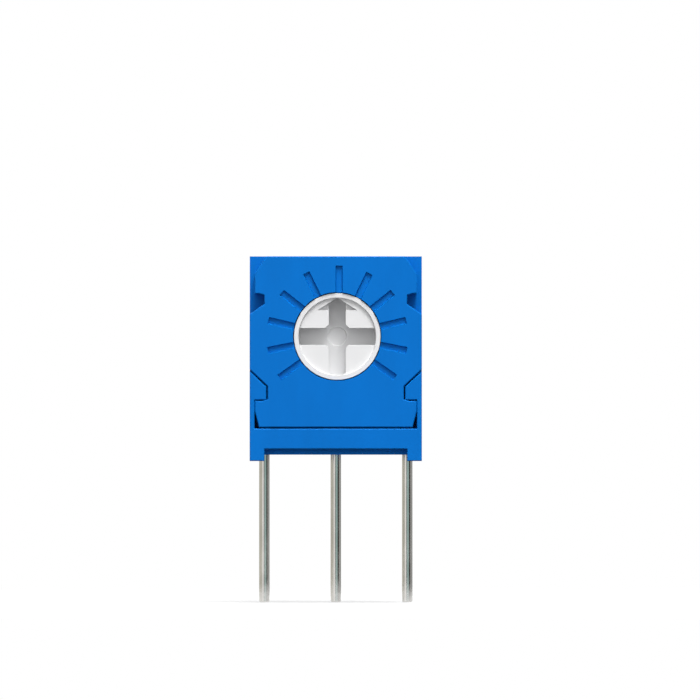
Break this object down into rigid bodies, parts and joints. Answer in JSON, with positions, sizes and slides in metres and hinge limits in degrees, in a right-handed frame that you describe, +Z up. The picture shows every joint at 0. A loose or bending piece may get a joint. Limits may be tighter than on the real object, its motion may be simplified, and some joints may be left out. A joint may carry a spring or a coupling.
{
  "type": "trimmer potentiometer",
  "caption": "Small square trimmer potentiometer, adjusted from the front with a cross-slotted rotor, snapped into a U-shaped base frame, with round leads in line below.",
  "frame": {"origin": "on the middle lead's axis, in the plane of the circuit board that the feet stand on", "axes": "+X to the right seen from the adjusting face, +Y from the adjusting face to the back, +Z up from the board"},
  "size_m": [0.0062, 0.0048, 0.0123],
  "materials": {
    "housing_plastic": "satin blue moulding",
    "frame_plastic": "satin blue moulding",
    "rotor_plastic": "matt white moulding",
    "seal_rubber": "matt black",
    "spring_alloy": "rolled sheet",
    "alumina": "fired, matt",
    "cermet_film": "printed and fired film",
    "silver_film": "printed and fired conductor",
    "tinned_wire": "tinned, drawn along its length",
    "solder": "bright solder",
    "casting_resin": "cast, slightly uneven"
  },
  "bodies": {
    "pot_body": {"housing": "housing_plastic", "base_frame": "frame_plastic", "o_ring": "seal_rubber", "substrate": "alumina", "resistive_track": "cermet_film", "collector_pad": "silver_film", "end_pad_left": "silver_film", "end_pad_right": "silver_film", "lead_1": "tinned_wire", "lead_2": "tinned_wire", "lead_3": "tinned_wire", "solder_1": "solder", "solder_2": "solder", "solder_3": "solder", "rear_seal": "casting_resin"},
    "adjuster": {"rotor": "rotor_plastic", "contact_spring": "spring_alloy"}
  },
  "joints": [
    {"name": "rotor_turn", "type": "hinge", "parent": "pot_body", "child": "adjuster", "pos_m": [0.00005, -0.0022, 0.00443], "axis": [0, 1, 0], "range_deg": [-125, 125]}
  ]
}
